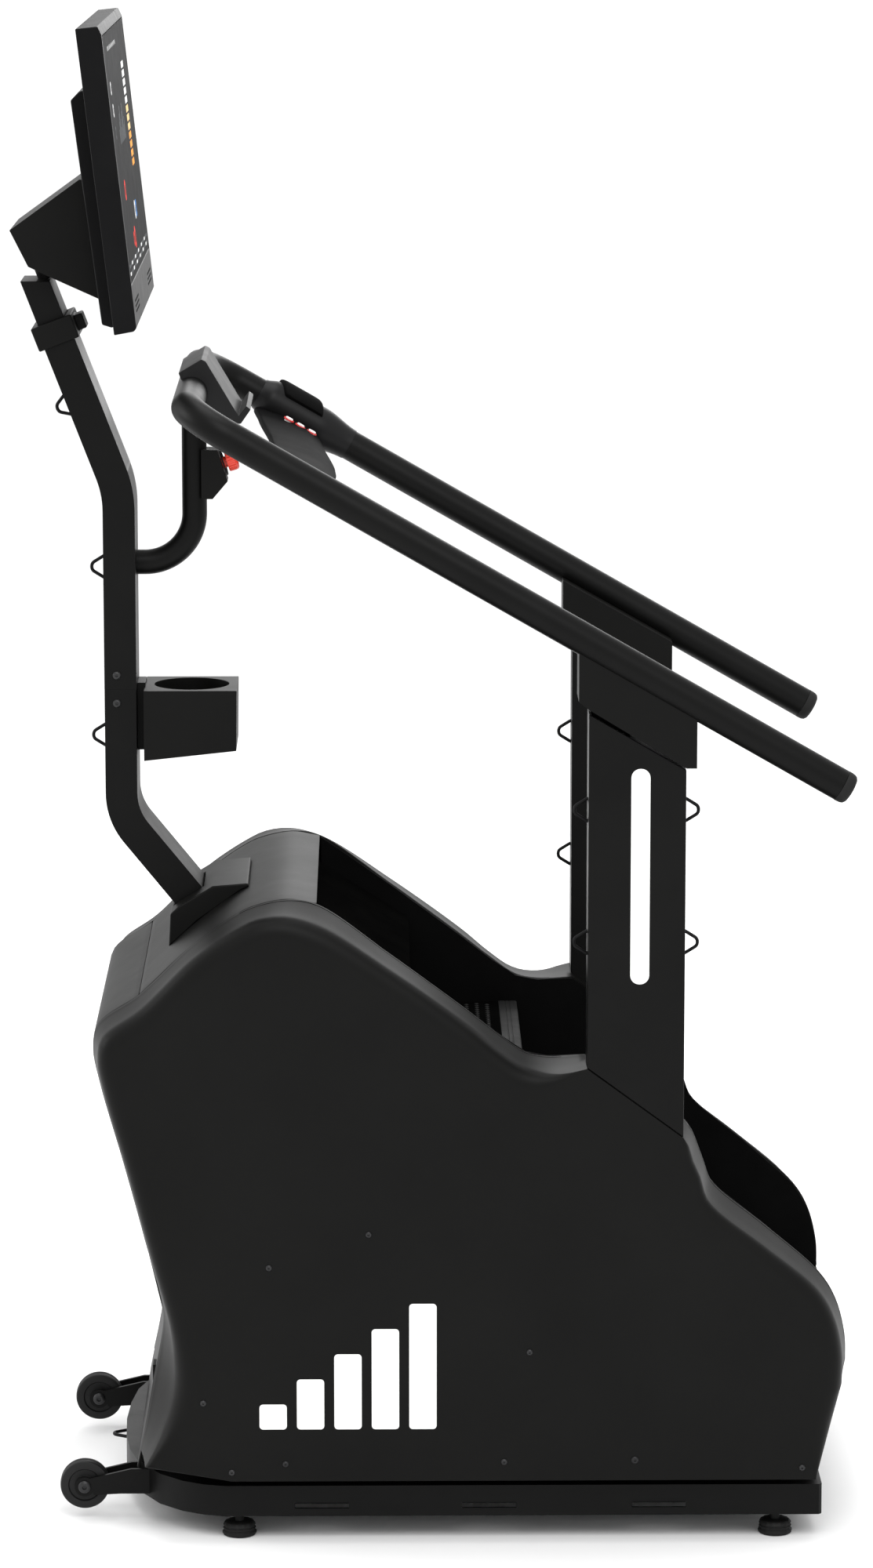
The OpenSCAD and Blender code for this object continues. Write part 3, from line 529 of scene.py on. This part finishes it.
def rounded(bm, cy, cz, hy, hz, r, x0, x1, axis="X", mat=0):
    """Rounded rectangle raised from x0 to x1, facing along the axis."""
    pts = []
    for qx, qz, a0 in ((1, 1, 0), (-1, 1, 90), (-1, -1, 180), (1, -1, 270)):
        for i in range(CORNER_STEPS + 1):
            a = math.radians(a0 + 90 * i / CORNER_STEPS)
            pts.append((cy + qx * (hy - r) + r * math.cos(a), cz + qz * (hz - r) + r * math.sin(a)))
    rings = []
    for x in (x0, x1):
        if axis == "X":
            rings.append([bm.verts.new((x * MM, p * MM, q * MM)) for p, q in pts])
        else:
            rings.append([bm.verts.new((p * MM, x * MM, q * MM)) for p, q in pts])
    loft(bm, rings)
    for f in bm.faces:
        if f.verts[0] in rings[0] or f.verts[0] in rings[1]:
            f.material_index = mat


def wire_loop(bm, path, r, n=12):
    """A closed loop of round wire of radius r, in mm, along a path of points in metres."""
    m = len(path)
    rings = []
    ref = None
    for i in range(m):
        t = (path[(i + 1) % m] - path[(i - 1) % m]).normalized()
        if ref is None:
            ref = t.orthogonal().normalized()
        ref = (ref - t * ref.dot(t)).normalized()
        side = t.cross(ref)
        rings.append([bm.verts.new(path[i] + (ref * math.cos(2 * math.pi * k / n)
                                              + side * math.sin(2 * math.pi * k / n)) * r * MM)
                      for k in range(n)])
    for a, b in zip(rings, rings[1:]):
        ring_faces(bm, a, b)
    a, b = rings[-1], rings[0]
    off = min(range(n), key=lambda q: sum((a[k].co - b[(k + q) % n].co).length for k in range(n)))
    ring_faces(bm, a, b[off:] + b[:off])


# ------------------------------------------------------------------ wheels, feet, fasteners

WHEEL = (-491.0, 214.0, 50.0)
WHEEL_PROFILE = [
    (6.3, -8), (9.5, -8), (10.5, -9.5), (13, -9.5), (14, -8), (22, -8), (23.5, -10.4), (31, -10.9),
    (33.6, -9.6), (34.8, -7), (35, -3), (34.3, -2.2), (34.3, -1.2), (35, -0.4), (35, 0.4),
    (34.3, 1.2), (34.3, 2.2), (35, 3), (34.8, 7), (33.6, 9.6), (31, 10.9), (23.5, 10.4),
    (22, 8), (14, 8), (13, 9.5), (10.5, 9.5), (9.5, 8), (6.3, 8)]
FOOT_Y = 292
FOOT_X = ((-271.0, "front"), (481.0, "rear"))
FOOT_PROFILE = [
    (20.5, 0.2), (22.6, 0.8), (23.4, 2.2), (23.4, 5.2), (22.2, 6.4), (21.2, 7.2), (21.2, 8.6),
    (22.4, 9.4), (22.4, 11.0), (21.0, 11.8), (21.0, 13.2), (22.2, 14.0), (22.0, 15.8),
    (19.5, 19.0), (14.0, 20.0), (6.0, 20.1), (6.0, 50.0)]


def foot_rib(k, i):
    return (0.5 if i % 4 < 2 else -0.3) if 2 <= k <= 13 else 0.0


for s, side in SIDES:
    bm = bmesh.new()
    lathe(bm, WHEEL_PROFILE, (WHEEL[0], s * WHEEL[1], WHEEL[2]), axis="Y", n=64, loop=True)
    add("transport_wheel_%s_look" % side, bm, "tyre", node="transport_wheel_" + side)

for x, end in FOOT_X:
    for s, side in SIDES:
        node = "foot_%s_%s" % (end, side)
        bm = bmesh.new()
        lathe(bm, FOOT_PROFILE, (x, s * FOOT_Y, 0), n=56, rib=foot_rib)
        add(node + "_look", bm, "rubber", node=node, smooth=42)

AXLE_R, AXLE_END = 6, 19.0
MAST_Y, UPRIGHT_Y = 50.0, 280.0
MAST_SCREWS = ((-442, 1182), (-442, 1142))
UPRIGHT_SCREW = (313, 1140)
WIDE_SCREW_X = 281
COVER_SCREWS = [(-227, 400), (-89, 447), (-319, 206), (-280, 106), (-205, 118), (134, 278),
                (99, 120), (281, 122), (514, 110)]


def screw(bm, x, z, y, s, r, h):
    """Button head with a hexagon socket, facing the side that s gives."""
    prof = [(r, 0.0), (r, h * 0.35), (r * 0.86, h * 0.78), (r * 0.62, h), (r * 0.48, h)]
    rings = []
    for q, d in prof:
        rings.append([bm.verts.new(((x + q * math.cos(math.pi * i / 12)) * MM, (y + s * d) * MM,
                                    (z + q * math.sin(math.pi * i / 12)) * MM))
                      for i in range(24)])
    for q, d in ((0.40, h * 0.96), (0.38, h * 0.2)):
        ring = []
        for i in range(24):
            a = math.pi * i / 12
            k = math.cos(math.pi / 6) / math.cos((a % (math.pi / 3)) - math.pi / 6)
            ring.append(bm.verts.new(((x + r * q * k * math.cos(a)) * MM, (y + s * d) * MM,
                                      (z + r * q * k * math.sin(a)) * MM)))
        rings.append(ring)
    loft(bm, rings)


bm = bmesh.new()
for s, side in SIDES:
    for x, z in COVER_SCREWS:
        screw(bm, x, z, s * SIDE_Y, s, 5.4 if x == WIDE_SCREW_X else 4.5, 2.5)
    for x, z in MAST_SCREWS:
        screw(bm, x, z, s * MAST_Y, s, 6.0, 3.0)
    x, z = UPRIGHT_SCREW
    screw(bm, x, z, s * UPRIGHT_Y, -s, 7.0, 3.6)
    for d in (-1, 1):
        screw(bm, WHEEL[0], WHEEL[2], s * WHEEL[1] + d * AXLE_END, d, 9.0, 4.0)
    lathe(bm, [(AXLE_R, -AXLE_END), (AXLE_R, AXLE_END)], (WHEEL[0], s * WHEEL[1], WHEEL[2]),
          axis="Y", n=32)
add("fasteners_look", bm, "bolt", node="fasteners")


# ------------------------------------------------------------------ wire hooks

def hook_path(place):
    """Rounded triangle of bent wire standing 20 mm off its plate."""
    corners = [(2.0, -17.5), (2.0, 17.5), (-18.4, 4.8), (-18.4, -4.8)]
    rad = [5.5, 5.5, 4.6, 4.6]
    pts = []
    n = len(corners)
    for i in range(n):
        p = Vector(corners[i])
        a = (Vector(corners[i - 1]) - p).normalized()
        b = (Vector(corners[(i + 1) % n]) - p).normalized()
        for j in range(7):
            t = j / 6
            u = p + a * rad[i] * (1 - t) ** 2 + b * rad[i] * t * t
            pts.append(place(u.x, u.y))
    return pts


WIRE_R = 2.4
HOOKS = []
LEAN = math.radians(21)


def side_hook(cx, cz, ang, y):
    c, s = math.cos(ang), math.sin(ang)
    return lambda u, v: Vector(((cx + u * c - v * s) * MM, y * MM, (cz + u * s + v * c) * MM))


lean_p = Vector((math.cos(LEAN), math.sin(LEAN)))
lean_v = Vector((-math.sin(LEAN), math.cos(LEAN)))
lean_bot = Vector((-437 - 150, 1415)) + lean_p * 150
high_hook = lean_bot + lean_v * 107 - lean_p * 22.5
HOOKS.append(side_hook(high_hook.x, high_hook.y, LEAN, 0))
HOOKS.append(side_hook(-459.5, 1330, 0, 0))
HOOKS.append(side_hook(-459.5, 1089, 0, 0))
for y in (-315, 315):
    for z in (853, 1038):
        HOOKS.append(side_hook(212, z, 0, y))
        HOOKS.append(side_hook(345, z, math.pi, y))
HOOKS.append(lambda u, v: Vector(((-441 + u) * MM, v * MM, 57 * MM)))
bm = bmesh.new()
for h in HOOKS:
    wire_loop(bm, hook_path(h), WIRE_R)
add("band_hooks_look", bm, "steel_black", node="band_hooks", smooth=60)


# ------------------------------------------------------------------ steps

DIAMOND = ((1, 0), (0, 1), (-1, 0), (0, -1))
NOSING_PROFILE = [
    (-27, 0.0), (-26.4, 1.0), (-22, 1.3), (-18, 1.3), (-17.4, 0.8), (-16.6, 0.8), (-16, 1.3),
    (-12, 1.3), (-11.4, 0.8), (-10.6, 0.8), (-10, 1.3), (-6, 1.3), (-1.5, 1.1), (0.1, 0.2),
    (0.35, -2.5), (0.35, -16), (0.3, -17), (0.0, -17.2), (-1.0, -3), (-4, -0.5)]


def step_detail(k):
    """Raised grip studs and a lighter nosing strip on one tread."""
    bm = bmesh.new()
    for i in range(11):
        for j in range(36):
            x = -196 + i * 15.2
            y = -231 + j * 12.8 + (6.4 if i % 2 else 0)
            if abs(y) > 233:
                continue
            lo = [bm.verts.new(((x + dx * 3.6) * MM, (y + dy * 3.6) * MM, -0.05 * MM))
                  for dx, dy in DIAMOND]
            hi = [bm.verts.new(((x + dx * 2.0) * MM, (y + dy * 2.0) * MM, 1.1 * MM))
                  for dx, dy in DIAMOND]
            ring_faces(bm, lo, hi)
            bm.faces.new(hi)
            bm.faces.new(lo[::-1])
    add("tread_studs_%d" % k, bm, "stud", body="stair_step_%d" % k,
        matrix=step_frame(k), smooth=20, weighted=False)
    bm = bmesh.new()
    loft(bm, [[bm.verts.new((x * MM, y * MM, z * MM)) for x, z in NOSING_PROFILE]
              for y in (-239.5, 239.5)])
    add("nosing_%d" % k, bm, "nosing", body="stair_step_%d" % k,
        matrix=step_frame(k), smooth=25, weighted=False)


for k in range(1, 8):
    refine("step_%d" % k, 0.8, 2, 6)
    step_detail(k)


# ------------------------------------------------------------------ bridge, keys and grip

RAIL_Y = 338
EDGES = [(-324, 103, 206), (-250, 112, 214), (-60, 136, 236), (0, 141, 238), (60, 136, 236),
         (250, 112, 214), (324, 103, 206)]


def edge_at(y):
    """Front and rear edge of the bridge across the machine."""
    for (a, f0, r0), (b, f1, r1) in zip(EDGES, EDGES[1:]):
        if a <= y <= b:
            t = (y - a) / (b - a)
            t = t * t * (3 - 2 * t) * 0.4 + t * 0.6
            return f0 + (f1 - f0) * t, r0 + (r1 - r0) * t
    return EDGES[-1][1:]


def sleeve(bm, a0, a1, r_of, u0, u1, n=36, m=40):
    """Part of a sleeve round the right rail, from angle a0 to a1, with a tapering outside."""
    rings = []
    for k in range(m + 1):
        u = u0 + (u1 - u0) * k / m
        ro = r_of(u)
        pts = []
        for i in range(n + 1):
            a = math.radians(a0 + (a1 - a0) * i / n)
            pts.append((u, RAIL_Y + ro * math.cos(a), ro * math.sin(a)))
        for i in range(n, -1, -1):
            a = math.radians(a0 + (a1 - a0) * i / n)
            pts.append((u, RAIL_Y + 22.3 * math.cos(a), 22.3 * math.sin(a)))
        rings.append([bm.verts.new((p[0] * MM, p[1] * MM, p[2] * MM)) for p in pts])
    loft(bm, rings)


def soft(t):
    """An even rise from 0 to 1 with level ends."""
    t = max(0.0, min(1.0, t))
    return t * t * (3 - 2 * t)


def pod_radius(u):
    """Outside radius of the sleeve along the rail: it swells under the keys, then tapers."""
    return 22.9 + 7.3 * soft((u - 96) / 22.0) * (1 - soft((u - 196) / 54.0))


N = 56
SQUARENESS = 0.42
bm = bmesh.new()
rings = []
for y in [-316.5 + 640.5 * k / 72 for k in range(73)]:
    lift = soft((40 - y) / 200.0)
    f, r = edge_at(y)
    cu, hu = (f + r) / 2, (r - f) / 2
    ring = []
    for i in range(N):
        a = 2 * math.pi * i / N
        c, s = math.cos(a), math.sin(a)
        du = math.copysign(abs(c) ** SQUARENESS, c)
        dw = math.copysign(abs(s) ** SQUARENESS, s)
        ridge = 1.6 * math.exp(-((du * hu - hu * 0.35) / 9.0) ** 2)
        hi = -5.4 - 2.6 * abs(du) ** 3 - 7.0 * (1 - 0.8 * lift) * soft((0.25 - du) / 1.2) + ridge
        lo = -33.0 + 5.0 * abs(du) ** 3 + 11.5 * lift
        w = (hi + lo) / 2 + (hi - lo) / 2 * dw
        ring.append(bm.verts.new(((cu + du * hu) * MM, y * MM, w * MM)))
    rings.append(ring)
loft(bm, rings)
for f in bm.faces:
    f.material_index = 1
sleeve(bm, 67, 293, pod_radius, 98, 250)
add("control_bridge_look", bm, ["pod", "bridge"], node="control_bridge", matrix=RAIL, smooth=40)

bm = bmesh.new()
NU, NA = 44, 28
top, low = [], []
for i in range(NU + 1):
    a = -1 + 2 * i / NU
    tr, lr = [], []
    for j in range(NA + 1):
        b = -1 + 2 * j / NA
        th = math.radians(104 + 40 * b)
        lean = 9.0 * b
        u = 154.5 + 33.0 * a * (1 - 0.08 * abs(b) ** 6) + lean
        h = 6.2 * ((1 - abs(a) ** 9) * (1 - abs(b) ** 7)) ** 0.3
        for rr, row in ((30.15 + h, tr), (29.6, lr)):
            row.append(bm.verts.new((u * MM, (RAIL_Y + rr * math.cos(th)) * MM,
                                     rr * math.sin(th) * MM)))
    top.append(tr)
    low.append(lr)
for g, flip in ((top, False), (low, True)):
    for i in range(NU):
        for j in range(NA):
            q = (g[i][j], g[i + 1][j], g[i + 1][j + 1], g[i][j + 1])
            bm.faces.new(q[::-1] if flip else q)


def rim(g):
    return ([g[i][0] for i in range(NU)] + [g[NU][j] for j in range(NA)]
            + [g[i][NA] for i in range(NU, 0, -1)] + [g[0][j] for j in range(NA, 0, -1)])


ring_faces(bm, rim(top), rim(low))
add("grip_look", bm, "grip", node="grip", matrix=RAIL, smooth=50)

KEYS = ((152, "slower"), (171, "menu"), (190, "faster"))
KEY_Y = 272
# the key caps take the key colour, the keys' painted glow
for u, n in KEYS:
    bm = bmesh.new()
    lathe(bm, [(5.9, -9.4), (5.9, -2.6), (5.6, -1.9), (4.8, -1.6), (1.5, -1.45)], (u, KEY_Y, 0),
          n=40)
    add("key_%s_look" % n, bm, "key", node="key_" + n, matrix=RAIL)
bm = bmesh.new()
for u, n in KEYS:
    lathe(bm, [(6.4, -5.6), (6.5, -3.7), (7.9, -3.7), (8.1, -5.6)], (u, KEY_Y, 0), n=40, loop=True)
add("key_rings", bm, "ring", body="machine", matrix=RAIL)


# ------------------------------------------------------------------ emergency stop

bm = bmesh.new()
lathe(bm, [(8.0, -6), (8.0, 7), (14.2, 7), (14.9, 7.8), (15.0, 9.0), (15.0, 17.0), (14.6, 19.4),
           (12.6, 21.2), (9.0, 21.9), (3.0, 22.0)], (0, 0, 0), n=72,
      rib=lambda k, i: (-0.7 if i % 4 == 0 else 0.0) if 3 <= k <= 6 else 0.0)
add("estop_button_look", bm, "red", node="estop_button", matrix=ESTOP, smooth=40)
bm = bmesh.new()
lathe(bm, [(16.4, 1.2), (16.4, 3.2), (18.2, 3.2), (19.2, 1.2)], (0, 0, 0), n=56, loop=True)
add("estop_bezel", bm, "cover", body="machine", matrix=ESTOP)


# ------------------------------------------------------------------ display

INKS = ["screen_back", "ui_white", "ui_orange", "ui_red", "ui_blue", "ui_grey", "ui_amber"]
BACK, WHITE, ORANGE, RED, BLUE, GREY, AMBER = range(7)
# the glass face, the marks on it and the centres of the round ones
GLASS, INK, DOT = -0.45, -0.3, -0.22
bm = bmesh.new()
rounded(bm, 0, 229, 295.6, 166.6, 6, -2.9, GLASS, mat=BACK)
for i in range(9):
    rounded(bm, -190 + i * 26, 374, 3.2, 3.2, 3.1, GLASS, INK, mat=WHITE)
for i in range(12):
    rounded(bm, 150, 336 - i * 12.5, 30, 4.6, 2, GLASS, INK,
            mat=WHITE if i < 5 else AMBER if i < 8 else ORANGE)
for y, z, m, r in ((-220, 322, WHITE, 9), (-220, 292, WHITE, 9), (-220, 262, GREY, 9),
                   (-160, 180, RED, 14), (-40, 106, RED, 15), (-72, 106, RED, 10),
                   (40, 138, WHITE, 13), (72, 138, BLUE, 12)):
    rounded(bm, y, z, r, r, r * 0.9, GLASS, INK, mat=m)
    rounded(bm, y, z, r * 0.5, r * 0.5, r * 0.45, INK, DOT, mat=BACK)
for i in range(10):
    h = 10 + 5 * (i % 4)
    rounded(bm, -120 + i * 16, 240 + h, 5.0, h, 2, GLASS, INK, mat=GREY)
for i in range(17):
    for j in range(2):
        rounded(bm, -264 + i * 33, 74 + j * 10, 12, 2.2, 1.2, GLASS, INK,
                mat=GREY if (i + j) % 3 else WHITE)
add("display_glass_look", bm, INKS, node="display_glass", matrix=DISPLAY, smooth=30,
    weighted=False)

# speaker grille: small darker discs on the display's face, painted shade standing in for the dark
# inside of holes that are not cut
bm = bmesh.new()
for s in (-1, 1):
    for i in range(16):
        for j in range(3):
            cy, cz = s * (150 + i * 7.0), 22 + j * 7.0
            ring = [bm.verts.new((0.12 * MM, (cy + 1.9 * math.cos(math.pi * q / 5)) * MM,
                                  (cz + 1.9 * math.sin(math.pi * q / 5)) * MM))
                    for q in range(10)]
            back = [bm.verts.new((-0.5 * MM, v.co.y, v.co.z)) for v in ring]
            ring_faces(bm, ring, back)
            bm.faces.new(ring)
            bm.faces.new(back[::-1])
add("speaker_hole_painted_shade", bm, "liner", body="display_head", matrix=DISPLAY,
    weighted=False)


# ------------------------------------------------------------------ plain marks, rail ends

bm = bmesh.new()
for s in (-1, 1):
    y0, y1 = (SIDE_Y, SIDE_Y + 0.25) if s > 0 else (-SIDE_Y - 0.25, -SIDE_Y)
    for i in range(5):
        h = 36 + i * 36
        rounded(bm, -222 + i * 52, 168 + h / 2, 19, h / 2, 5, y0, y1, axis="Y", mat=0)
    rounded(bm, 283, 950, 13, 150, 12.5, y0, y1, axis="Y", mat=0)
add("side_marks", bm, "white", body="machine", weighted=False)

CAP_PROFILE = [(19.4, 1005), (19.4, 1025), (22.05, 1025.1), (22.1, 1027), (22.0, 1031),
               (21.6, 1034.2), (20.4, 1037.4), (17.4, 1039.8), (13.0, 1040.8), (6.0, 1041.0)]
for s, side in SIDES:
    bm = bmesh.new()
    lathe(bm, CAP_PROFILE, (0, s * RAIL_Y, 0), axis="X", n=56)
    add("rail_end_cap_%s_look" % side, bm, "rubber", node="rail_end_cap_" + side, matrix=RAIL)


# ------------------------------------------------------------------ the rest, with softened edges

# rounding in mm, steps across it, shortest edge that is rounded, and the nodes
SOFTENED = [
    (1.6, 3, 5, {"base_frame", "upright_left", "upright_right", "mast_lower", "mast_upper"}),
    (2.2, 3, 2, {"mast_boot", "rail_bracket_left", "rail_bracket_right", "cup_holder",
                 "neck_cover", "display_housing", "display_back_box", "estop_housing",
                 "mast_collar"}),
    (1.2, 2, 2, {"device_holder", "mast_head", "handrail", "support_arm", "power_inlet",
                 "rear_panel", "alternator", "flywheel"}),
]
for n in NODES:
    for width, seg, min_len, nodes in SOFTENED:
        if n in nodes:
            refine(n, width, seg, min_len)


# ------------------------------------------------------------------ stage

def floor():
    bm = bmesh.new()
    bmesh.ops.create_grid(bm, x_segments=40, y_segments=40, size=30.0)
    me = bpy.data.meshes.new("floor")
    bm.to_mesh(me)
    bm.free()
    ob = bpy.data.objects.new("floor", me)
    bpy.context.scene.collection.objects.link(ob)
    m, nt, p = tree("floor_paper")
    tone = ramp(nt, noise(nt, coords(nt), 3.0),
                [(0.3, (0.89, 0.89, 0.89)), (0.7, (0.91, 0.91, 0.91))])
    nt.links.new(tone, p.inputs["Base Color"])
    p.inputs["Roughness"].default_value = 0.8
    p.inputs["Specular IOR Level"].default_value = 0.2
    me.materials.append(m)


def area(name, loc, target, size, power):
    d = bpy.data.lights.new(name, "AREA")
    d.energy = power
    d.size = size
    o = bpy.data.objects.new(name, d)
    o.location = loc
    o.rotation_euler = (Vector(target) - Vector(loc)).to_track_quat("-Z", "Y").to_euler()
    bpy.context.scene.collection.objects.link(o)


# name, place, what it faces, size in metres, watts
LIGHTS = [
    ("key", (-0.3, 0.4, 5.6), (0, 0, 0.9), 3.4, 120),
    ("front", (-5.5, 0.6, 2.6), (0, 0, 1.0), 2.6, 90),
    ("back", (0.8, 5.5, 3.2), (0, 0, 1.0), 3.0, 60),
    ("fill", (0.5, -3.8, 4.6), (0.25, -0.6, 0.0), 3.0, 130),
]
WORLD_STRENGTH = 1.14
CAMERA_AT = (-0.0838, -7.6662, 2.4245)
CAMERA_FACES = (0.01190598, 0.98347612, -0.18064596)
CAMERA_LENS, CAMERA_SENSOR = 83.76, 24.0


def stage():
    floor()
    w = bpy.data.worlds.new("studio")
    bpy.context.scene.world = w
    w.use_nodes = True
    bg = w.node_tree.nodes["Background"]
    bg.inputs["Color"].default_value = (1.0, 1.0, 1.0, 1.0)
    bg.inputs["Strength"].default_value = WORLD_STRENGTH
    for light in LIGHTS:
        area(*light)
    cam = bpy.data.cameras.new("camera")
    cam.sensor_fit = "VERTICAL"
    cam.sensor_height = CAMERA_SENSOR
    cam.lens = CAMERA_LENS
    cam.clip_start = 0.1
    cam.clip_end = 100.0
    o = bpy.data.objects.new("camera", cam)
    o.location = CAMERA_AT
    o.rotation_euler = Vector(CAMERA_FACES).to_track_quat("-Z", "Y").to_euler()
    bpy.context.scene.collection.objects.link(o)
    bpy.context.scene.camera = o
    bpy.context.scene.view_settings.view_transform = "Standard"


stage()
